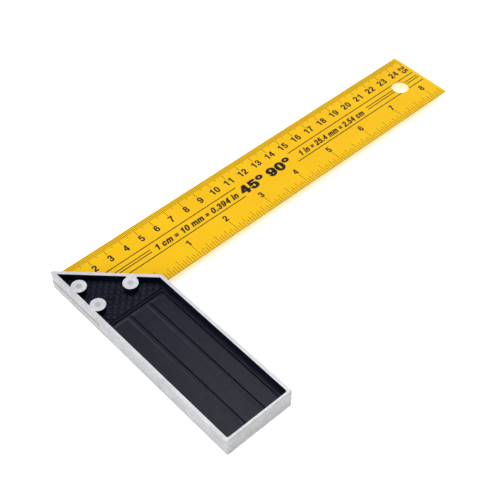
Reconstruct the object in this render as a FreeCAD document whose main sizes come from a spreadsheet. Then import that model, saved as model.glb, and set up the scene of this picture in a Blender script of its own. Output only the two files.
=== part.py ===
"""Fixed carpenter's try square: a mitred cast stock, a printed steel blade and three flush rivets.

The origin is the inside corner, at mid thickness: X = 0 is the stock's inner face, Y = 0 is the
blade's inner edge and Z = 0 is the blade's middle plane. +X runs along the blade to its tip.
"""
import FreeCAD, Part
import os
import Sketcher

doc = FreeCAD.newDocument("try_square")

# Driving dimensions in millimetres. Heights are measured from the middle plane.
sizes = {
    "stock_width": 40.0,
    "stock_drop": 92.5,        # from the blade's inner edge down to the heel
    "stock_half": 5.75,        # half the stock's thickness
    "shoulder_rise": 0.9,      # the mitre starts this far above the blade's inner edge
    "corner_radius": 0.9,
    "edge_radius": 0.45,
    "outer_rim": 1.6,
    "inner_rim": 2.0,
    "heel_rim": 1.5,
    "mitre_rim": 2.1,
    "floor_height": 1.55,
    "relief_height": 2.45,     # top of the studs, the panels and the border bead
    "relief_radius": 0.3,
    "boss_radius": 4.0,
    "boss_moat": 5.25,
    "outer_boss_inset": 5.0,   # from the stock's outer face
    "inner_boss_inset": 25.1,
    "low_boss_height": 7.1,    # above the blade's inner edge
    "boss_spacing": 15.5,
    "neck_width": 5.2,
    "mitre_moat": 0.9,
    "side_moat": 1.8,
    "stud_pitch": 3.1,
    "groove_width": 1.3,
    "groove_depth": 0.5,
    "groove_taper": 45.0,
    "first_groove": 5.2,       # from the mitre face to the first groove's middle
    "first_cross": 1.3,        # from the inside corner, along the mitre
    "studs_end": -3.45,        # the studded field's straight lower edge
    "bead_top": -4.3,
    "bead_width": 0.65,
    "bead_moat": 2.35,         # from the inner rim
    "bead_radius": 0.25,
    "panel_top": -6.1,
    "panel_top_slope": 1.5,    # the run of each panel's slope towards the blade
    "panel_top_fall": 0.5,
    "panel_side_slope": 1.1,   # the run of the slope towards the inner face
    "panel_side_fall": 0.4,
    "panel_margin": 0.8,
    "panel_width": 10.0,
    "panel_pitch": 11.9,
    "last_panel_width": 8.1,
    "blade_width": 40.0,
    "blade_length": 252.0,
    "blade_half": 0.5,
    "blade_corner": 0.4,
    "tail_clip": 1.6,
    "hang_radius": 5.0,
    "hang_inset": 17.0,        # from the blade's tip
    "rivet_radius": 1.35,
    "rivet_flare": 0.25,
}

sheet = doc.addObject("Spreadsheet::Sheet", "sizes")
for row, (alias, value) in enumerate(sizes.items(), start=1):
    sheet.set(f"A{row}", alias)
    sheet.set(f"B{row}", str(value))
    sheet.setAlias(f"B{row}", alias)
doc.recompute()


def bound(name):
    """The expression that reads one cell of the sheet."""
    return f"sizes.{name}"


def originPlane(body, role="XY_Plane"):
    return next(item for item in body.Origin.OriginFeatures if item.Role == role)


def newBody(label):
    body = doc.addObject("PartDesign::Body", label)
    body.Label = label
    return body


def newSketch(body, name, height="0", turn=0.0, role="XY_Plane"):
    """A sketch parallel to an origin plane, at a height above it and turned about its normal."""
    sketch = body.newObject("Sketcher::SketchObject", name)
    sketch.AttachmentSupport = [(originPlane(body, role), "")]
    sketch.MapMode = "FlatFace"
    sketch.AttachmentOffset = FreeCAD.Placement(
        FreeCAD.Vector(0, 0, 0), FreeCAD.Rotation(FreeCAD.Vector(0, 0, 1), turn)
    )
    sketch.setExpression("AttachmentOffset.Base.z", height)
    return sketch


def pin(sketch, kind, first, second, expression, name):
    """Add one dimension, hold it to the sheet and give it a name."""
    value = sketch.evalExpression(expression)
    index = sketch.addConstraint(Sketcher.Constraint(kind, *first, *second, float(value)))
    sketch.renameConstraint(index, name)
    sketch.setExpression(f"Constraints.{name}", expression)


def polygon(sketch, corners, tag="p"):
    """A closed outline whose corners are pairs of expressions."""
    points = [
        FreeCAD.Vector(float(sketch.evalExpression(x)), float(sketch.evalExpression(y)), 0)
        for x, y in corners
    ]
    first = sketch.GeometryCount
    count = len(points)
    for index, point in enumerate(points):
        sketch.addGeometry(Part.LineSegment(point, points[(index + 1) % count]))
    for index in range(count):
        following = first + (index + 1) % count
        sketch.addConstraint(Sketcher.Constraint("Coincident", first + index, 2, following, 1))
    for index, (x, y) in enumerate(corners):
        pin(sketch, "DistanceX", (-1, 1), (first + index, 1), x, f"{tag}{index}x")
        pin(sketch, "DistanceY", (-1, 1), (first + index, 1), y, f"{tag}{index}y")


def circle(sketch, centre, radius, tag):
    """A circle whose centre and radius are expressions."""
    x, y = centre
    middle = FreeCAD.Vector(float(sketch.evalExpression(x)), float(sketch.evalExpression(y)), 0)
    size = float(sketch.evalExpression(radius))
    index = sketch.addGeometry(Part.Circle(middle, FreeCAD.Vector(0, 0, 1), size))
    pin(sketch, "DistanceX", (-1, 1), (index, 3), x, f"{tag}x")
    pin(sketch, "DistanceY", (-1, 1), (index, 3), y, f"{tag}y")
    pin(sketch, "Radius", (index,), (), radius, f"{tag}r")


def addPad(body, sketch, name, length):
    pad = body.newObject("PartDesign::Pad", name)
    pad.Profile = sketch
    pad.setExpression("Length", length)
    sketch.Visibility = False
    doc.recompute()
    return pad


def addPocket(body, sketch, name, length, upwards=False):
    """Cut a sketch's area, and make sure that it takes something away."""
    before = body.Shape.Volume
    pocket = body.newObject("PartDesign::Pocket", name)
    pocket.Profile = sketch
    pocket.Reversed = upwards
    pocket.setExpression("Length", length)
    sketch.Visibility = False
    doc.recompute()
    if body.Shape.Volume >= before - 1e-6:
        raise ValueError(f"{name} cuts nothing")
    return pocket


def edgesWhere(shape, test):
    """Names of the edges whose middle point and direction pass a test."""
    names = []
    for index, edge in enumerate(shape.Edges, start=1):
        middle = edge.valueAt((edge.FirstParameter + edge.LastParameter) / 2)
        if test(edge, middle):
            names.append(f"Edge{index}")
    return names


def dress(body, kind, name, size, test):
    """A fillet (Radius) or a chamfer (Size) on the edges that pass a test."""
    base = body.Tip
    names = edgesWhere(base.Shape, test)
    if not names:
        raise ValueError(f"{name} finds no edge")
    feature = body.newObject(f"PartDesign::{kind}", name)
    feature.Base = (base, names)
    feature.setExpression("Radius" if kind == "Fillet" else "Size", size)
    doc.recompute()
    return feature


def near(first, second):
    return abs(first - second) < 1e-4


def upright(edge):
    """True for a straight edge along Z."""
    start = edge.Vertexes[0].Point
    end = edge.Vertexes[-1].Point
    return near(start.x, end.x) and near(start.y, end.y) and not near(start.z, end.z)


# ---- shared places, as expressions ----
outerFace = "-sizes.stock_width"
heel = "-sizes.stock_drop"
tip = "sizes.blade_length - sizes.stock_width"
recessLeft = "-sizes.stock_width + sizes.outer_rim"
recessRight = "-sizes.inner_rim"
recessHeel = "-sizes.stock_drop + sizes.heel_rim"
mitreSum = "sizes.shoulder_rise"                                  # x + y on the mitre face
recessSum = "sizes.shoulder_rise - sizes.mitre_rim * sqrt(2)"     # x + y on the recess's mitre wall
fieldSum = "sizes.shoulder_rise - (sizes.mitre_rim + sizes.mitre_moat) * sqrt(2)"
fieldRight = "-sizes.inner_rim - sizes.side_moat"

bossCentres = {
    "nose": ("-sizes.stock_width + sizes.outer_boss_inset", "sizes.low_boss_height + sizes.boss_spacing"),
    "outer": ("-sizes.stock_width + sizes.outer_boss_inset", "sizes.low_boss_height"),
    "inner": ("-sizes.stock_width + sizes.inner_boss_inset", "sizes.low_boss_height"),
}

# ---- the stock: its upper half is built on the middle plane and then mirrored ----
stock = newBody("stock")

webSketch = newSketch(stock, "web_outline")
stockOutline = [
    (outerFace, heel),
    ("0", heel),
    ("0", mitreSum),
    (outerFace, f"{mitreSum} + sizes.stock_width"),
]
polygon(webSketch, stockOutline)
addPad(stock, webSketch, "web", bound("relief_height"))

# grooves between the studs run along the mitre and across it, over the whole web
def addGrooves(name, axis, count, outline):
    """One tapered groove and its copies towards the mitre or along it."""
    sketch = newSketch(stock, f"{name}_outline", bound("relief_height"), turn=-45.0)
    polygon(sketch, outline)
    groove = addPocket(stock, sketch, name, bound("groove_depth"))
    groove.setExpression("TaperAngle", "-sizes.groove_taper")
    pattern = stock.newObject("PartDesign::LinearPattern", f"{name}_pattern")
    pattern.Originals = [groove]
    pattern.Direction = (sketch, [axis])
    pattern.Occurrences = count
    pattern.setExpression("Length", f"sizes.stud_pitch * {count - 1}")
    stock.Tip = pattern
    doc.recompute()


alongCount = 9
crossCount = 17
fieldReach = "1.4 * sizes.stock_width"
alongStart = f"sizes.shoulder_rise / sqrt(2) - sizes.first_groove - {alongCount - 1} * sizes.stud_pitch"
crossStart = f"-sizes.first_cross - {crossCount - 1} * sizes.stud_pitch"
addGrooves("groove_along", "V_Axis", alongCount, [
    (f"-{fieldReach}", f"{alongStart} - sizes.groove_width / 2"),
    ("0", f"{alongStart} - sizes.groove_width / 2"),
    ("0", f"{alongStart} + sizes.groove_width / 2"),
    (f"-{fieldReach}", f"{alongStart} + sizes.groove_width / 2"),
])
addGrooves("groove_across", "H_Axis", crossCount, [
    (f"{crossStart} - sizes.groove_width / 2", f"-{fieldReach}"),
    (f"{crossStart} + sizes.groove_width / 2", f"-{fieldReach}"),
    (f"{crossStart} + sizes.groove_width / 2", "0"),
    (f"{crossStart} - sizes.groove_width / 2", "0"),
])

# the floor is lower along the mitre, round the bosses and under the panels
floorDepth = "sizes.relief_height - sizes.floor_height"
mitreMoat = newSketch(stock, "mitre_moat_outline", bound("relief_height"))
polygon(mitreMoat, [
    (outerFace, f"{fieldSum} + sizes.stock_width"),
    ("0", fieldSum),
    ("0", mitreSum),
    (outerFace, f"{mitreSum} + sizes.stock_width"),
])
addPocket(stock, mitreMoat, "mitre_moat_cut", floorDepth)
bossMoat = newSketch(stock, "boss_moat_outline", bound("relief_height"))
for name, centre in bossCentres.items():
    circle(bossMoat, centre, bound("boss_moat"), name)
addPocket(stock, bossMoat, "boss_moat_cut", floorDepth)
panelField = newSketch(stock, "panel_field_outline", bound("relief_height"))
polygon(panelField, [
    (outerFace, heel),
    ("0", heel),
    ("0", mitreSum),
    (fieldRight, mitreSum),
    (fieldRight, bound("studs_end")),
    (outerFace, bound("studs_end")),
])
addPocket(stock, panelField, "panel_field_cut", floorDepth)

# three raised panels: each slopes down at its top, and two slope down to the inner side
panelLow = f"{recessHeel} + sizes.panel_margin"
panelSketch = newSketch(stock, "panel_profile", f"-{bound('panel_top')}", role="XZ_Plane")
for index in range(3):
    left = f"{recessLeft} + sizes.panel_margin + {index} * sizes.panel_pitch"
    if index < 2:
        right = f"{left} + sizes.panel_width"
        profile = [
            (right, "0"),
            (right, "sizes.relief_height - sizes.panel_side_fall"),
            (f"{right} - sizes.panel_side_slope", bound("relief_height")),
        ]
    else:
        right = f"{left} + sizes.last_panel_width"
        profile = [(right, "0"), (right, bound("relief_height"))]
    polygon(panelSketch, [(left, "0"), *profile, (left, bound("relief_height"))], tag=f"panel{index}")
addPad(stock, panelSketch, "panels", f"sizes.panel_top - ({panelLow})")
slopeSketch = newSketch(stock, "panel_slope_outline", recessRight, role="YZ_Plane")
polygon(slopeSketch, [
    (bound("panel_top"), "sizes.relief_height - sizes.panel_top_fall"),
    (bound("panel_top"), "sizes.relief_height + sizes.relief_radius"),
    ("sizes.panel_top - sizes.panel_top_slope", "sizes.relief_height + sizes.relief_radius"),
    ("sizes.panel_top - sizes.panel_top_slope", bound("relief_height")),
])
addPocket(stock, slopeSketch, "panel_slopes", bound("stock_width"))
steepSides = [
    stock.evalExpression(f"{recessLeft} + sizes.panel_margin + {index} * sizes.panel_pitch")
    for index in range(3)
]
steepSides.append(steepSides[-1] + sizes["last_panel_width"])
panelFoot = stock.evalExpression(panelLow)
dress(stock, "Fillet", "panel_edges", bound("relief_radius"), lambda edge, middle: (
    near(edge.BoundBox.ZMin, sizes["relief_height"])
    and (near(middle.y, panelFoot) or any(near(middle.x, x) for x in steepSides))
))
beadRight = "-sizes.inner_rim - sizes.bead_moat"
beadSketch = newSketch(stock, "bead_outline")
polygon(beadSketch, [
    (outerFace, f"{bound('bead_top')} - sizes.bead_width"),
    (f"{beadRight} - sizes.bead_width", f"{bound('bead_top')} - sizes.bead_width"),
    (f"{beadRight} - sizes.bead_width", heel),
    (beadRight, heel),
    (beadRight, bound("bead_top")),
    (outerFace, bound("bead_top")),
])
addPad(stock, beadSketch, "bead", bound("relief_height"))
beadAlong = (sizes["bead_top"], sizes["bead_top"] - sizes["bead_width"])
beadDown = (stock.evalExpression(beadRight), stock.evalExpression(beadRight) - sizes["bead_width"])
dress(stock, "Fillet", "bead_edges", bound("bead_radius"), lambda edge, middle: (
    near(edge.BoundBox.ZMin, sizes["relief_height"])
    and (any(near(middle.y, y) for y in beadAlong) or any(near(middle.x, x) for x in beadDown))
))

# the rim stands to the full thickness all round, and the bosses stand as high
rimSketch = newSketch(stock, "rim_outline")
polygon(rimSketch, stockOutline, tag="outside")
polygon(rimSketch, [
    (recessLeft, recessHeel),
    (recessRight, recessHeel),
    (recessRight, f"{recessSum} - ({recessRight})"),
    (recessLeft, f"{recessSum} - ({recessLeft})"),
], tag="inside")
addPad(stock, rimSketch, "rim", bound("stock_half"))
bossSketch = newSketch(stock, "boss_outline")
for name, centre in bossCentres.items():
    circle(bossSketch, centre, bound("boss_radius"), name)
addPad(stock, bossSketch, "bosses", bound("stock_half"))
neckSketch = newSketch(stock, "neck_outline", turn=-45.0)
neckMiddle = f"({bossCentres['inner'][0]} - ({bossCentres['inner'][1]})) / sqrt(2)"
neckFoot = f"({bossCentres['inner'][0]} + {bossCentres['inner'][1]}) / sqrt(2)"
neckHead = "sizes.shoulder_rise / sqrt(2) - sizes.mitre_rim / 2"
polygon(neckSketch, [
    (f"{neckMiddle} - sizes.neck_width / 2", neckFoot),
    (f"{neckMiddle} + sizes.neck_width / 2", neckFoot),
    (f"{neckMiddle} + sizes.neck_width / 2", neckHead),
    (f"{neckMiddle} - sizes.neck_width / 2", neckHead),
])
addPad(stock, neckSketch, "neck", bound("stock_half"))

# round the upright corners, then the top edges
half = sizes["stock_half"]
outlinePoints = [
    (stock.evalExpression(x), stock.evalExpression(y)) for x, y in stockOutline
]


def onOutline(point):
    return any(near(point.x, x) and near(point.y, y) for x, y in outlinePoints)


dress(stock, "Fillet", "outer_corners", bound("corner_radius"),
      lambda edge, middle: upright(edge) and onOutline(middle))
dress(stock, "Fillet", "recess_corners", bound("corner_radius"), lambda edge, middle: (
    upright(edge)
    and near(edge.BoundBox.ZMax, half)
    and near(middle.y, stock.evalExpression(recessHeel))
))


def onOuterFace(middle):
    """Is a point on the outline of the stock, or on one of its rounded corners?"""
    left = middle.x < -sizes["stock_width"] + sizes["corner_radius"]
    right = middle.x > -sizes["corner_radius"]
    low = middle.y < -sizes["stock_drop"] + sizes["corner_radius"]
    mitre = middle.x + middle.y > sizes["shoulder_rise"] - sizes["corner_radius"]
    return left or right or low or mitre


dress(stock, "Fillet", "outer_edges", bound("edge_radius"),
      lambda edge, middle: near(edge.BoundBox.ZMin, half) and onOuterFace(middle))

# the saw cut for the blade goes through the whole nose, and the rivets pass through the bosses
slotSketch = newSketch(stock, "slot_outline")
polygon(slotSketch, [
    (f"{outerFace} - sizes.edge_radius", "0"),
    (bound("edge_radius"), "0"),
    (bound("edge_radius"), "sizes.stock_width + 2 * sizes.shoulder_rise"),
    (f"{outerFace} - sizes.edge_radius", "sizes.stock_width + 2 * sizes.shoulder_rise"),
])
addPocket(stock, slotSketch, "blade_slot", bound("blade_half"), upwards=True)
holeSketch = newSketch(stock, "rivet_hole_outline")
for name, centre in bossCentres.items():
    circle(holeSketch, centre, bound("rivet_radius"), name)
addPocket(stock, holeSketch, "rivet_holes", bound("stock_half"), upwards=True)
dress(stock, "Chamfer", "rivet_countersinks", bound("rivet_flare"), lambda edge, middle: (
    near(edge.BoundBox.ZMin, half)
    and edge.Curve.TypeId == "Part::GeomCircle"
    and near(edge.Curve.Radius, sizes["rivet_radius"])
))

bothFaces = stock.newObject("PartDesign::Mirrored", "both_faces")
bothFaces.TransformMode = "Whole shape"
bothFaces.MirrorPlane = (originPlane(stock), [""])
stock.Tip = bothFaces
doc.recompute()

# ---- the blade ----
blade = newBody("blade")
bladeSketch = newSketch(blade, "blade_outline", "-sizes.blade_half")
polygon(bladeSketch, [
    (outerFace, "0"),
    (tip, "0"),
    (tip, bound("blade_width")),
    (f"{outerFace} + sizes.tail_clip", bound("blade_width")),
    (outerFace, "sizes.blade_width - sizes.tail_clip"),
])
circle(bladeSketch, (f"{tip} - sizes.hang_inset", "sizes.blade_width / 2"),
       bound("hang_radius"), "hang")
for name, centre in bossCentres.items():
    circle(bladeSketch, centre, bound("rivet_radius"), name)
addPad(blade, bladeSketch, "blade_sheet", "2 * sizes.blade_half")
bladeTip = blade.evalExpression(tip)
dress(blade, "Fillet", "tip_corners", bound("blade_corner"),
      lambda edge, middle: upright(edge) and near(middle.x, bladeTip))

# ---- the rivets: straight shanks with both ends spread into the bosses' countersinks ----
rivets = []
for name, centre in bossCentres.items():
    rivet = newBody(f"{name}_rivet")
    shankSketch = newSketch(rivet, f"{name}_shank_outline", "-sizes.stock_half")
    circle(shankSketch, centre, bound("rivet_radius"), "shank")
    addPad(rivet, shankSketch, f"{name}_shank", "2 * sizes.stock_half")
    for end, height, taper in (("upper", "sizes.stock_half - sizes.rivet_flare", "45"),
                               ("lower", "-sizes.stock_half + sizes.rivet_flare", "45")):
        flareSketch = newSketch(rivet, f"{name}_{end}_outline", height)
        circle(flareSketch, centre, bound("rivet_radius"), "flare")
        flare = addPad(rivet, flareSketch, f"{name}_{end}_flare", bound("rivet_flare"))
        flare.Reversed = end == "lower"
        flare.setExpression("TaperAngle", taper)
    doc.recompute()
    rivets.append(rivet)

# ---- check and write ----
failed = [item.Name for item in doc.Objects if {"Invalid", "Error"} & set(item.State)]
if failed:
    raise ValueError(f"failed objects: {failed}")
os.makedirs("parts", exist_ok=True)
for body in (stock, blade, *rivets):
    shape = body.Shape
    if shape.isNull() or not shape.isValid():
        raise ValueError(f"{body.Label} has no valid shape")
    print(f"{body.Label}: {len(shape.Solids)} solid, {shape.Volume:.1f} cubic mm")
    shape.exportStep(f"parts/{body.Label}.step")
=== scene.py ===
import math
import bmesh
import bpy
from mathutils import Matrix, Quaternion, Vector


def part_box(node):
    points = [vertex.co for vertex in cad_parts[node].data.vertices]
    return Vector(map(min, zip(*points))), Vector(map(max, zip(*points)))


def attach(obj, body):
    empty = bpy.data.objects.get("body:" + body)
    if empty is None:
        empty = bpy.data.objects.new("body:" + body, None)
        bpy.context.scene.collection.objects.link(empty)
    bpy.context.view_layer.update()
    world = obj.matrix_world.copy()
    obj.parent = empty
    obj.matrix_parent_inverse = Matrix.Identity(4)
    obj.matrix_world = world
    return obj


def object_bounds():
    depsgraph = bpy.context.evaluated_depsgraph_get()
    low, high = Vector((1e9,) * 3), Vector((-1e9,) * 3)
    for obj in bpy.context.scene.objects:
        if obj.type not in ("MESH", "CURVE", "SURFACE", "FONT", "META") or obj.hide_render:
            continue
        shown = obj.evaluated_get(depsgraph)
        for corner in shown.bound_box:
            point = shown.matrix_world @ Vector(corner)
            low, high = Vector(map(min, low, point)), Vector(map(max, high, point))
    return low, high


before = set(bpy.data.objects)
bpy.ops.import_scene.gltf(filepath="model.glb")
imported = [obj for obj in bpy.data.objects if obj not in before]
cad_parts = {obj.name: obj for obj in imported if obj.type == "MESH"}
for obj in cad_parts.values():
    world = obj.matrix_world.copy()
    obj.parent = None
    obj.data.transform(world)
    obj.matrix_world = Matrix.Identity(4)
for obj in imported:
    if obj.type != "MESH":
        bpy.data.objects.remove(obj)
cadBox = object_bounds()
mm = 0.001
stockLow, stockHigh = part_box("stock")
bladeLow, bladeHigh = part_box("blade")
scene = bpy.context.scene
print("frame loaded:", sorted(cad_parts))


# small helpers for node materials

def feed(tree, socket, value):
    if isinstance(value, bpy.types.NodeSocket):
        tree.links.new(value, socket)
    else:
        socket.default_value = value


def addNode(tree, kind, settings=None, **inputs):
    made = tree.nodes.new("ShaderNode" + kind)
    for name, value in (settings or {}).items():
        setattr(made, name, value)
    for name, value in inputs.items():
        feed(tree, made.inputs[name.replace("_", " ")], value)
    return made


def calc(tree, operation, first, second=0.0, third=0.0):
    made = addNode(tree, "Math", {"operation": operation})
    for socket, value in zip(made.inputs, (first, second, third)):
        feed(tree, socket, value)
    return made.outputs[0]


def noise(tree, vector, scale, detail=3.0, roughness=0.55):
    made = addNode(tree, "TexNoise", Vector=vector, Scale=scale, Detail=detail, Roughness=roughness)
    return made.outputs["Fac"]


def stretched(tree, vector, scale):
    return addNode(tree, "Mapping", Vector=vector, Scale=scale).outputs[0]


def remap(tree, value, low, high, newLow, newHigh):
    made = addNode(tree, "MapRange", Value=value, From_Min=low, From_Max=high, To_Min=newLow, To_Max=newHigh)
    return made.outputs["Result"]


def mixed(tree, factor, first, second):
    made = addNode(tree, "Mix", {"data_type": "RGBA"})
    feed(tree, made.inputs[0], factor)
    feed(tree, made.inputs[6], first)
    feed(tree, made.inputs[7], second)
    return made.outputs[2]


def blended(tree, factor, first, second):
    made = addNode(tree, "Mix", {"data_type": "FLOAT"})
    feed(tree, made.inputs[0], factor)
    feed(tree, made.inputs[2], first)
    feed(tree, made.inputs[3], second)
    return made.outputs[0]


def startMaterial(name):
    material = bpy.data.materials.new(name)
    material.use_nodes = True
    tree = material.node_tree
    tree.nodes.clear()
    place = addNode(tree, "TexCoord").outputs["Object"]
    return material, tree, place


def finishMaterial(tree, colour, roughness, height, depth, metallic=0.0, specular=0.5, glow=0.0):
    bump = addNode(tree, "Bump", Strength=1.0, Distance=depth, Height=height)
    shader = addNode(tree, "BsdfPrincipled", Base_Color=colour, Roughness=roughness, Metallic=metallic)
    feed(tree, shader.inputs["Specular IOR Level"], specular)
    feed(tree, shader.inputs["Normal"], bump.outputs[0])
    feed(tree, shader.inputs["Emission Color"], (1, 1, 1, 1))
    feed(tree, shader.inputs["Emission Strength"], glow)
    output = addNode(tree, "OutputMaterial")
    tree.links.new(shader.outputs[0], output.inputs["Surface"])


# stock: ground cast metal, black enamel left in the recess of each face

stockLook = {
    "metal": (0.675, 0.675, 0.70, 1),
    "metalDull": (0.565, 0.565, 0.59, 1),
    # the cast side faces are set darker than the ground tops: partly their own cast finish, partly painted
    # shade
    "castShadedSide": (0.54, 0.54, 0.555, 1),
    "castShadedSideDull": (0.41, 0.41, 0.415, 1),
    "enamel": (0.0016, 0.0028, 0.0115, 1),
    "enamelPale": (0.0050, 0.0070, 0.0190, 1),
    "outerRim": 1.6 * mm,
    "innerRim": 2.0 * mm,
    "heelRim": 1.5 * mm,
    "recessSum": -2.07 * mm,   # x + y along the recess wall beside the mitre
    "groundDepth": 0.10 * mm,  # the enamel starts this far below the ground rim
    "ragged": 0.07 * mm,       # how unevenly it starts
    "wallSkin": 0.02 * mm,     # the enamel test reaches this far into each wall
    "mitreSkin": 0.03 * mm,
    "metalRough": (0.48, 0.60),
    "enamelRough": (0.27, 0.37),
    "bumpDepth": 0.02 * mm,
    "specular": 0.23,
}


def stockMaterial():
    material, tree, place = startMaterial("stockFinish")
    axes = addNode(tree, "SeparateXYZ", Vector=place).outputs
    across, along, up = axes
    ragged = calc(tree, "MULTIPLY", noise(tree, place, 900, 2), stockLook["ragged"])
    depth = calc(tree, "SUBTRACT", stockHigh.z - stockLook["groundDepth"], calc(tree, "ABSOLUTE", up))
    below = calc(tree, "GREATER_THAN", depth, ragged)
    skin = stockLook["wallSkin"]
    mitreEdge = stockLook["recessSum"] + stockLook["mitreSkin"]
    inside = [
        calc(tree, "GREATER_THAN", across, stockLow.x + stockLook["outerRim"] - skin),
        calc(tree, "LESS_THAN", across, stockHigh.x - stockLook["innerRim"] + skin),
        calc(tree, "GREATER_THAN", along, stockLow.y + stockLook["heelRim"] - skin),
        calc(tree, "LESS_THAN", calc(tree, "ADD", across, along), mitreEdge),
    ]
    enamel = below
    for test in inside:
        enamel = calc(tree, "MULTIPLY", enamel, test)

    patches = noise(tree, place, 140, 4)
    grain = noise(tree, stretched(tree, place, (2600, 160, 2600)), 1.0, 2)
    pores = noise(tree, place, 2600, 3, 0.7)
    blotches = noise(tree, place, 620, 5, 0.7)
    clouds = calc(tree, "ADD", calc(tree, "MULTIPLY", patches, 0.4), calc(tree, "MULTIPLY", blotches, 0.6))
    mottle = remap(tree, clouds, 0.38, 0.62, 0, 1)
    ground = mixed(tree, mottle, stockLook["metal"], stockLook["metalDull"])
    # side faces get a darker grey than the tops: partly the cast finish, partly painted shade
    castAndShadeTone = mixed(tree, mottle, stockLook["castShadedSide"], stockLook["castShadedSideDull"])
    onSide = remap(tree, calc(tree, "ABSOLUTE", up), stockHigh.z - 0.5 * mm, stockHigh.z - 0.1 * mm, 1, 0)
    metal = mixed(tree, onSide, ground, castAndShadeTone)
    haze = remap(tree, noise(tree, place, 220, 5), 0.35, 0.7, 0, 1)
    black = mixed(tree, haze, stockLook["enamel"], stockLook["enamelPale"])
    brushed = remap(tree, grain, 0.3, 0.7, *stockLook["metalRough"])
    metalRough = calc(tree, "ADD", brushed, calc(tree, "MULTIPLY", patches, 0.08))
    blackRough = remap(tree, noise(tree, place, 420, 4), 0.3, 0.7, *stockLook["enamelRough"])
    metalHeight = calc(tree, "ADD", calc(tree, "MULTIPLY", grain, 0.35), calc(tree, "MULTIPLY", pores, 0.5))
    blackHeight = noise(tree, place, 1500, 3, 0.6)
    finishMaterial(
        tree,
        mixed(tree, enamel, metal, black),
        blended(tree, enamel, metalRough, blackRough),
        blended(tree, enamel, metalHeight, blackHeight),
        stockLook["bumpDepth"],
        metallic=calc(tree, "SUBTRACT", 1.0, enamel),
        specular=stockLook["specular"],
    )
    return material


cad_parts["stock"].data.materials[0] = stockMaterial()
print("stock finished")


# blade: yellow lacquer on both faces; its cut edges are duller, and their darker brownish colour is thin
# lacquer plus painted shade

bladeLook = {
    "lacquer": (0.90, 0.525, 0.006, 1),
    "lacquerDeep": (0.87, 0.495, 0.005, 1),
    # edge colours: thin lacquer over the cut edges, darkened with painted shade
    "edge": (0.56, 0.35, 0.020, 1),
    "edgeShadeDark": (0.48, 0.36, 0.12, 1),
    "tail": (0.16, 0.13, 0.085, 1),
    "tailReach": 0.06 * mm,    # the blade's end in the stock is bare, dark steel
    "faceDepth": 0.06 * mm,    # below each face by this much the cut edge starts
    "rough": (0.34, 0.44),
    "bumpDepth": 0.006 * mm,
    "specular": 0.10,
}


def bladeMaterial():
    material, tree, place = startMaterial("bladeLacquer")
    across, _, up = addNode(tree, "SeparateXYZ", Vector=place).outputs
    tail = calc(tree, "LESS_THAN", across, bladeLow.x + bladeLook["tailReach"])
    edge = calc(tree, "LESS_THAN", calc(tree, "ABSOLUTE", up), bladeHigh.z - bladeLook["faceDepth"])
    clouds = noise(tree, place, 45, 3)
    flow = noise(tree, stretched(tree, place, (700, 1400, 1400)), 1.0, 2)
    deep = remap(tree, clouds, 0.35, 0.65, 0, 1)
    lacquer = mixed(tree, deep, bladeLook["lacquer"], bladeLook["lacquerDeep"])
    # the cut edges are painted a darker brownish yellow: painted shade over thin lacquer
    edgeAndTail = mixed(tree, noise(tree, place, 900, 4), bladeLook["edge"], bladeLook["edgeShadeDark"])
    edgeAndTail = mixed(tree, tail, edgeAndTail, bladeLook["tail"])
    smooth = remap(tree, flow, 0.3, 0.7, *bladeLook["rough"])
    roughness = calc(tree, "ADD", smooth, calc(tree, "MULTIPLY", edge, 0.15))
    colour = mixed(tree, edge, lacquer, edgeAndTail)
    finishMaterial(tree, colour, roughness, flow, bladeLook["bumpDepth"], specular=bladeLook["specular"])
    return material


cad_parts["blade"].data.materials[0] = bladeMaterial()
print("blade finished")


# rivets: plain metal pins, ground flush with the bosses

rivetLook = {
    "metal": (0.53, 0.53, 0.55, 1),
    "metalDark": (0.39, 0.39, 0.405, 1),
    "rough": (0.46, 0.58),
    "bumpDepth": 0.015 * mm,
}


def rivetMaterial():
    material, tree, place = startMaterial("rivetMetal")
    grain = noise(tree, stretched(tree, place, (3200, 300, 3200)), 1.0, 3)
    spots = noise(tree, place, 1300, 4)
    colour = mixed(tree, remap(tree, spots, 0.35, 0.7, 0, 1), rivetLook["metal"], rivetLook["metalDark"])
    roughness = remap(tree, grain, 0.3, 0.7, *rivetLook["rough"])
    finishMaterial(tree, colour, roughness, grain, rivetLook["bumpDepth"], metallic=1.0)
    return material


rivetFinish = rivetMaterial()
for name in ("nose_rivet", "outer_rivet", "inner_rivet"):
    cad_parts[name].data.materials[0] = rivetFinish
print("rivets finished")


# printing on the blade: every mark is a thin film of ink on the upper face

ink = {
    "film": 0.02 * mm,
    "sink": 0.01 * mm,         # how far a mark's underside sits in the lacquer
    "mitreSum": 1.0 * mm,      # x + y where the marks come out from under the stock
    "colour": (0.010, 0.006, 0.004, 1),
    "colourThin": (0.028, 0.016, 0.007, 1),
    "rough": (0.42, 0.6),
    "bumpDepth": 0.003 * mm,
    "specular": 0.15,
}
filmLow = bladeHigh.z - ink["sink"]
filmHigh = bladeHigh.z + ink["film"]


def inkMaterial():
    material, tree, place = startMaterial("scaleInk")
    speckle = noise(tree, place, 2600, 3, 0.6)
    thin = remap(tree, noise(tree, place, 60, 3), 0.35, 0.7, 0, 1)
    colour = mixed(tree, calc(tree, "MULTIPLY", thin, speckle), ink["colour"], ink["colourThin"])
    roughness = remap(tree, speckle, 0.3, 0.7, *ink["rough"])
    finishMaterial(tree, colour, roughness, speckle, ink["bumpDepth"], specular=ink["specular"])
    return material


inkFinish = inkMaterial()


def onBlade(fromStock, fromEdge):
    return bladeLow.x + fromStock, bladeHigh.y - fromEdge


def addBar(bm, left, right, low, high):
    size = Vector((right - left, high - low, filmHigh - filmLow))
    centre = Vector(((left + right) / 2, (low + high) / 2, (filmLow + filmHigh) / 2))
    bmesh.ops.create_cube(bm, size=1.0, matrix=Matrix.LocRotScale(centre, None, size))


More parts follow.
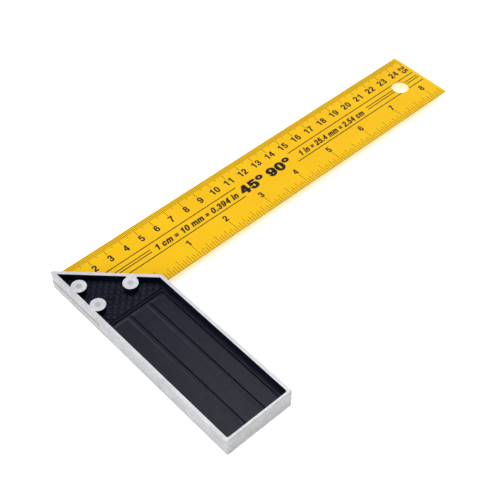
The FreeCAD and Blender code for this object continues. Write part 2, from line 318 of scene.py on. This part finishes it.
def cutAway(bm, point, normal):
    # removes what lies on the side that the normal points to, and closes the cut
    everything = bm.verts[:] + bm.edges[:] + bm.faces[:]
    bmesh.ops.bisect_plane(bm, geom=everything, dist=1e-8, plane_co=point, plane_no=normal, clear_outer=True)
    cutEdges = [edge for edge in bm.edges if edge.is_boundary]
    bmesh.ops.holes_fill(bm, edges=cutEdges, sides=0)


def finishPiece(bm, name):
    bmesh.ops.remove_doubles(bm, verts=bm.verts, dist=1e-7)
    bmesh.ops.recalc_face_normals(bm, faces=bm.faces)
    mesh = bpy.data.meshes.new(name)
    bm.to_mesh(mesh)
    bm.free()
    mesh.materials.append(inkFinish)
    piece = bpy.data.objects.new(name, mesh)
    scene.collection.objects.link(piece)
    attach(piece, "root")
    return piece


def clearOfStock(bm):
    cutAway(bm, Vector((ink["mitreSum"], 0, 0)), Vector((-1, -1, 0)).normalized())


# centimetre scale along the outer edge, from the stock's outer face

mmScale = {
    "first": 2,
    "last": 250,
    "pitch": 1 * mm,
    "width": 0.23 * mm,
    "short": 3.6 * mm,
    "half": 4.9 * mm,
    "long": 7.1 * mm,
    "edgeGap": 0.05 * mm,
}


def buildMmTicks():
    bm = bmesh.new()
    for count in range(mmScale["first"], mmScale["last"] + 1):
        kind = "long" if count % 10 == 0 else "half" if count % 5 == 0 else "short"
        length = mmScale[kind]
        x, edge = onBlade(count * mmScale["pitch"], mmScale["edgeGap"])
        half = mmScale["width"] / 2
        addBar(bm, x - half, x + half, edge - length, edge)
    clearOfStock(bm)
    return finishPiece(bm, "mm_ticks")


buildMmTicks()
print("millimetre ticks made")


# inch scale along the inner edge, from the stock's inner face

inchScale = {
    "inch": 25.4 * mm,
    "parts": 16,
    "last": 8.25,
    "start": 0.2 * mm,
    "width": 0.21 * mm,
    "lengths": {16: 8.5 * mm, 8: 6.2 * mm, 4: 5.2 * mm, 2: 4.1 * mm, 1: 3.1 * mm},
    "edgeGap": 0.05 * mm,
}


def buildInchTicks():
    bm = bmesh.new()
    for count in range(0, int(inchScale["last"] * inchScale["parts"]) + 1):
        step = max(part for part in inchScale["lengths"] if count % part == 0)
        x = stockHigh.x + inchScale["start"] + count * inchScale["inch"] / inchScale["parts"]
        half = inchScale["width"] / 2
        low = bladeLow.y + inchScale["edgeGap"]
        addBar(bm, x - half, x + half, low, low + inchScale["lengths"][step])
    return finishPiece(bm, "inch_ticks")


buildInchTicks()
print("inch ticks made")


# lines along the middle of the blade, broken round the hang hole

ruleLines = {
    "width": 0.54 * mm,
    "rows": [                  # distance from the outer edge, then each run's start and end
        (15.7, [(0, 109.7), (148.6, 250)]),
        (19.0, [(0, 48.2), (207.3, 250)]),
        (20.7, [(0, 48.2), (207.3, 250)]),
        (24.1, [(0, 109.7), (148.6, 250)]),
    ],
    "hole": (195 * mm, 20 * mm),
    "holeRadius": 5.15 * mm,
}


def buildRuleLines():
    whole = bmesh.new()
    holeX, holeY = ruleLines["hole"]
    radius = ruleLines["holeRadius"]
    half = ruleLines["width"] / 2
    for row, runs in ruleLines["rows"]:
        for start, end in runs:
            left, y = onBlade(start * mm, row * mm)
            right = bladeLow.x + end * mm
            reach = math.sqrt(radius ** 2 - (y - holeY) ** 2)
            spans = [(left, right, 0)]
            if left < holeX < right:
                spans = [(left, holeX, -1), (holeX, right, 1)]
            for spanLeft, spanRight, side in spans:
                bm = bmesh.new()
                addBar(bm, spanLeft, spanRight, y - half, y + half)
                if side:
                    away = Vector((side * reach, y - holeY, 0))
                    cutAway(bm, Vector((holeX, holeY, 0)) + away, -away.normalized())
                part = bpy.data.meshes.new("linePart")
                bm.to_mesh(part)
                bm.free()
                whole.from_mesh(part)
                bpy.data.meshes.remove(part)
    clearOfStock(whole)
    return finishPiece(whole, "rule_lines")


buildRuleLines()
print("lines made")


# figures: outlines on a grid 100 high; a point with a third number is a sharp corner

figures = {
    "0": [[(31, 101), (54, 87), (62, 50), (54, 13), (31, -1), (8, 13), (0, 50), (8, 87)],
          [(31, 86), (41, 75), (43, 50), (41, 25), (31, 14), (21, 25), (19, 50), (21, 75)]],
    "1": [[(32, 0, 1), (51, 0, 1), (51, 100, 1), (36, 100, 1), (28, 87), (8, 79, 1), (8, 65, 1),
           (32, 72, 1)]],
    "2": [[(1, 0, 1), (60, 0, 1), (60, 16, 1), (26, 16, 1), (40, 33), (56, 53), (61, 72), (52, 93),
           (31, 101), (10, 93), (2, 68, 1), (20, 67, 1), (23, 81), (31, 86), (40, 82), (42, 71),
           (36, 56), (14, 33), (1, 11, 1)]],
    "3": [[(0, 30, 1), (19, 31, 1), (22, 18), (31, 14), (41, 19), (43, 30), (38, 41), (24, 44, 1),
           (24, 59, 1), (36, 62), (40, 73), (38, 83), (31, 87), (23, 82), (21, 71, 1), (2, 71, 1),
           (10, 93), (31, 101), (51, 94), (59, 75), (55, 60), (46, 53, 1), (58, 44), (62, 28),
           (53, 6), (31, -1), (9, 6)]],
    "4": [[(35, 0, 1), (53, 0, 1), (53, 22, 1), (63, 22, 1), (63, 37, 1), (53, 37, 1), (53, 100, 1),
           (33, 100, 1), (0, 39, 1), (0, 22, 1), (35, 22, 1)],
          [(35, 37, 1), (35, 74, 1), (16, 37, 1)]],
    "5": [[(8, 100, 1), (57, 100, 1), (57, 84, 1), (23, 84, 1), (21, 65, 1), (34, 68), (54, 60),
           (62, 34), (53, 7), (30, -1), (9, 6), (0, 28, 1), (19, 29, 1), (22, 18), (30, 14),
           (40, 20), (43, 34), (40, 48), (31, 54), (24, 52), (20, 45, 1), (3, 47, 1)]],
    "6": [[(32, 101), (11, 88), (0, 48), (9, 10), (32, -1), (54, 9), (62, 33), (54, 57), (36, 66),
           (26, 63), (19, 55, 1), (21, 76), (32, 87), (39, 83), (42, 74, 1), (60, 75, 1), (52, 94)],
          [(31, 52), (40, 47), (43, 33), (40, 18), (31, 14), (22, 18), (19, 33), (22, 47)]],
    "7": [[(1, 100, 1), (61, 100, 1), (61, 86, 1), (42, 52), (31, 0, 1), (11, 0, 1), (21, 46),
           (41, 84, 1), (1, 84, 1)]],
    "8": [[(31, 101), (51, 94), (59, 75), (55, 60), (47, 53, 1), (58, 44), (62, 28), (53, 6),
           (31, -1), (9, 6), (0, 28), (4, 44), (15, 53, 1), (7, 60), (3, 75), (11, 94)],
          [(31, 87), (38, 83), (41, 73), (38, 63), (31, 60), (24, 63), (21, 73), (24, 83)],
          [(31, 46), (40, 41), (43, 29), (40, 18), (31, 13), (22, 18), (19, 29), (22, 41)]],
    "c": [[(57, 47, 1), (39, 47, 1), (37, 57), (29, 61), (21, 56), (18, 37), (21, 18), (29, 13),
           (37, 17), (39, 28, 1), (58, 28, 1), (50, 6), (29, -1), (8, 9), (0, 37), (8, 65),
           (29, 75), (50, 69)]],
    "i": [[(0, 0, 1), (19, 0, 1), (19, 73, 1), (0, 73, 1)],
          [(0, 84, 1), (19, 84, 1), (19, 101, 1), (0, 101, 1)]],
    "m": [[(0, 0, 1), (19, 0, 1), (19, 46), (29, 59), (36, 48), (36, 0, 1), (55, 0, 1), (55, 46),
           (65, 59), (72, 48), (72, 0, 1), (91, 0, 1), (91, 50), (86, 69), (71, 75), (52, 64, 1),
           (36, 75), (18, 65, 1), (18, 73, 1), (0, 73, 1)]],
    "n": [[(0, 0, 1), (19, 0, 1), (19, 46), (29, 59), (37, 48), (37, 0, 1), (56, 0, 1), (56, 50),
           (51, 69), (37, 75), (18, 65, 1), (18, 73, 1), (0, 73, 1)]],
    "=": [[(0, 51, 1), (52, 51, 1), (52, 66, 1), (0, 66, 1)],
          [(0, 22, 1), (52, 22, 1), (52, 37, 1), (0, 37, 1)]],
    ".": [[(0, 0, 1), (19, 0, 1), (19, 19, 1), (0, 19, 1)]],
    "°": [[(24, 103), (41, 96), (48, 79), (41, 62), (24, 55), (7, 62), (0, 79), (7, 96)],
          [(24, 92), (33, 88), (37, 79), (33, 70), (24, 66), (15, 70), (11, 79), (15, 88)]],
}
figures["9"] = [[(62 - point[0], 100 - point[1], *point[2:]) for point in loop] for loop in figures["6"]]
figureWidth = {name: max(point[0] for loop in loops for point in loop) for name, loops in figures.items()}
figureWidth["1"] = 62          # the 1 takes the same room as the other numbers


def textWidth(text, gap, space):
    widths = [space - gap if letter == " " else figureWidth[letter] for letter in text]
    return sum(widths) + gap * (len(text) - 1)


def addText(bm, text, height, place, gap=17, space=45, wide=1.0, slant=0.0, turn=0.0, weight=0.0):
    curve = bpy.data.curves.new("figureOutline", "CURVE")
    curve.dimensions, curve.fill_mode, curve.resolution_u = "2D", "BOTH", 5
    pen = -textWidth(text, gap, space) / 2
    for letter in text:
        if letter == " ":
            pen += space
            continue
        for loop in figures[letter]:
            spline = curve.splines.new("BEZIER")
            spline.bezier_points.add(len(loop) - 1)
            spline.use_cyclic_u = True
            for knot, point in zip(spline.bezier_points, loop):
                knot.co = (pen + point[0], point[1], 0)
                handle = "VECTOR" if len(point) > 2 else "AUTO"
                knot.handle_left_type = knot.handle_right_type = handle
        pen += figureWidth[letter] + gap
    holder = bpy.data.objects.new("figureOutline", curve)
    scene.collection.objects.link(holder)
    bpy.context.view_layer.update()
    mesh = bpy.data.meshes.new_from_object(holder.evaluated_get(bpy.context.evaluated_depsgraph_get()))
    letters = bmesh.new()
    letters.from_mesh(mesh)
    bmesh.ops.remove_doubles(letters, verts=letters.verts, dist=0.01)
    if weight:                 # a heavier stroke is the same outline, set outwards
        folded = bmesh.ops.inset_region(letters, faces=letters.faces[:], use_boundary=True,
                                        use_even_offset=True, thickness=-weight)["faces"]
        bmesh.ops.delete(letters, geom=folded, context="FACES")
    raised = bmesh.ops.extrude_face_region(letters, geom=letters.faces[:])["geom"]
    top = [item for item in raised if isinstance(item, bmesh.types.BMVert)]
    bmesh.ops.translate(letters, verts=top, vec=Vector((0, 0, 1)))
    bmesh.ops.translate(letters, verts=letters.verts, vec=Vector((0, 0, -0.5)))
    letters.to_mesh(mesh)
    letters.free()
    unit = height / 100
    shear = Matrix.Identity(4)
    shear[0][1] = math.tan(math.radians(slant))
    size = Matrix.Diagonal((unit * wide, unit, filmHigh - filmLow, 1))
    spin = Matrix.Rotation(math.radians(turn), 4, "Z")
    middle = Vector((place[0], place[1], (filmLow + filmHigh) / 2))
    mesh.transform(Matrix.Translation(middle) @ spin @ shear @ size)
    bm.from_mesh(mesh)
    bpy.data.meshes.remove(mesh)
    bpy.data.objects.remove(holder)
    bpy.data.curves.remove(curve)


cmNumbers = {
    "first": 2,
    "last": 24,
    "height": 4.12 * mm,
    "foot": 12.0 * mm,         # baseline, from the outer edge
    "endNumber": "25",         # turned to fit before the tip
    "endFoot": 245.5 * mm,
    "endStart": 10.6 * mm,     # its middle, from the outer edge
    "weight": 1.8,             # thickens each stroke, on the same grid
}
bm = bmesh.new()
for count in range(cmNumbers["first"], cmNumbers["last"] + 1):
    place = onBlade(count * 10 * mm, cmNumbers["foot"])
    addText(bm, str(count), cmNumbers["height"], place, weight=cmNumbers["weight"])
place = onBlade(cmNumbers["endFoot"], cmNumbers["endStart"])
addText(bm, cmNumbers["endNumber"], cmNumbers["height"], place, turn=-90, weight=cmNumbers["weight"])
finishPiece(bm, "cm_numbers")

inchNumbers = {
    "last": 8,
    "height": 3.85 * mm,
    "foot": 30.8 * mm,
    "weight": 1.8,
}
bm = bmesh.new()
for count in range(1, inchNumbers["last"] + 1):
    x = stockHigh.x + inchScale["start"] + count * inchScale["inch"]
    place = (x, bladeHigh.y - inchNumbers["foot"])
    addText(bm, str(count), inchNumbers["height"], place, weight=inchNumbers["weight"])
finishPiece(bm, "inch_numbers")
print("numbers made")


# captions between the lines: what the scales and the two angles are

# each row: text, its middle and its foot on the blade, height, widening, word space
captions = {
    "slant": 13,
    "weight": 3.5,
    "angleWeight": 5.0,
    "angleGap": 14,
    "left": ("1 cm = 10 mm = 0.394 in", 78.7 * mm, 22.05 * mm, 3.85 * mm, 0.97, 40),
    "right": ("1 in = 25.4 mm = 2.54 cm", 177.8 * mm, 22.2 * mm, 3.85 * mm, 0.85, 40),
    "angles": ("45° 90°", 128.0 * mm, 23.0 * mm, 5.9 * mm, 1.36, 30),
}
bm = bmesh.new()
for key in ("left", "right"):
    text, x, foot, height, wide, space = captions[key]
    addText(bm, text, height, onBlade(x, foot), wide=wide, space=space, slant=captions["slant"],
            weight=captions["weight"])
finishPiece(bm, "scale_captions")
bm = bmesh.new()
text, x, foot, height, wide, space = captions["angles"]
addText(bm, text, height, onBlade(x, foot), gap=captions["angleGap"], wide=wide, space=space,
        weight=captions["angleWeight"])
finishPiece(bm, "angle_caption")
print("captions made")


# floor, light and camera

studio = {
    "floor": 6.0,
    "floorColour": (0.93, 0.93, 0.93, 1),
    "floorPale": (0.95, 0.95, 0.95, 1),
    "worldColour": (0.95, 0.97, 1.0, 1),
    "worldStrength": 0.20,
    "floorGlow": 0.46,         # the floor is a lit table, so the shadows stay pale
}


def buildFloor():
    material, tree, place = startMaterial("paleFloor")
    colour = mixed(tree, noise(tree, place, 3, 2), studio["floorColour"], studio["floorPale"])
    grain = noise(tree, place, 300, 2)
    finishMaterial(tree, colour, 0.9, grain, 0.01 * mm, specular=0.1, glow=studio["floorGlow"])
    bm = bmesh.new()
    bmesh.ops.create_grid(bm, x_segments=1, y_segments=1, size=studio["floor"] / 2)
    bmesh.ops.translate(bm, verts=bm.verts, vec=Vector((0, 0, cadBox[0].z)))
    mesh = bpy.data.meshes.new("floor")
    bm.to_mesh(mesh)
    bm.free()
    mesh.materials.append(material)
    floor = bpy.data.objects.new("floor", mesh)
    scene.collection.objects.link(floor)


def buildWorld():
    world = bpy.data.worlds.new("studio")
    world.use_nodes = True
    background = world.node_tree.nodes["Background"]
    background.inputs["Color"].default_value = studio["worldColour"]
    background.inputs["Strength"].default_value = studio["worldStrength"]
    scene.world = world


# each light: its place, the point it faces, its two sides in metres, watts, colour
softboxes = {
    "overhead": ((0.25, 0.05, 1.25), (0.25, 0.0499, 0), (1.9, 1.3), 16.6, (1.0, 1.0, 1.0)),
    "leftFill": ((-1.1, -0.05, 0.40), (0.0, -0.02, 0), (0.8, 0.6), 7.5, (0.97, 0.98, 1.0)),
    "backdrop": ((0.50, 1.15, 0.36), (0.0, -0.02, 0), (1.0, 0.45), 2.6, (0.97, 0.98, 1.0)),
    "farBackdrop": ((1.10, 0.62, 0.38), (0.0, -0.02, 0), (0.8, 0.45), 2.0, (0.97, 0.98, 1.0)),
}


def addSoftbox(name, setting):
    place, aim, size, power, colour = setting
    light = bpy.data.lights.new(name, "AREA")
    light.shape = "RECTANGLE"
    light.size, light.size_y = size
    light.energy = power
    light.color = colour
    lamp = bpy.data.objects.new(name, light)
    lamp.location = place
    lamp.rotation_mode = "QUATERNION"
    lamp.rotation_quaternion = (Vector(aim) - Vector(place)).to_track_quat("-Z", "Y")
    scene.collection.objects.link(lamp)


buildFloor()
buildWorld()
for softbox in softboxes.items():
    addSoftbox(*softbox)

view = {
    "target": Vector((46.09, -13.23, 0)) * mm,
    "distance": 573.78 * mm,
    "azimuth": -42.17,
    "elevation": 49.12,
    "roll": 0.30,
    "lens": 80.885,
}


def buildCamera():
    camera = bpy.data.cameras.new("camera")
    camera.lens, camera.sensor_width = view["lens"], 36
    camera.clip_start, camera.clip_end = 0.01, 50
    holder = bpy.data.objects.new("camera", camera)
    turn, tilt = math.radians(view["azimuth"]), math.radians(view["elevation"])
    back = Vector((math.sin(turn) * math.cos(tilt), -math.cos(turn) * math.cos(tilt), math.sin(tilt)))
    holder.location = view["target"] + back * view["distance"]
    holder.rotation_mode = "QUATERNION"
    roll = Quaternion((0, 0, 1), math.radians(-view["roll"]))
    holder.rotation_quaternion = (-back).to_track_quat("-Z", "Y") @ roll
    scene.collection.objects.link(holder)
    scene.camera = holder


buildCamera()
scene.view_settings.view_transform = "Standard"
print("studio made")
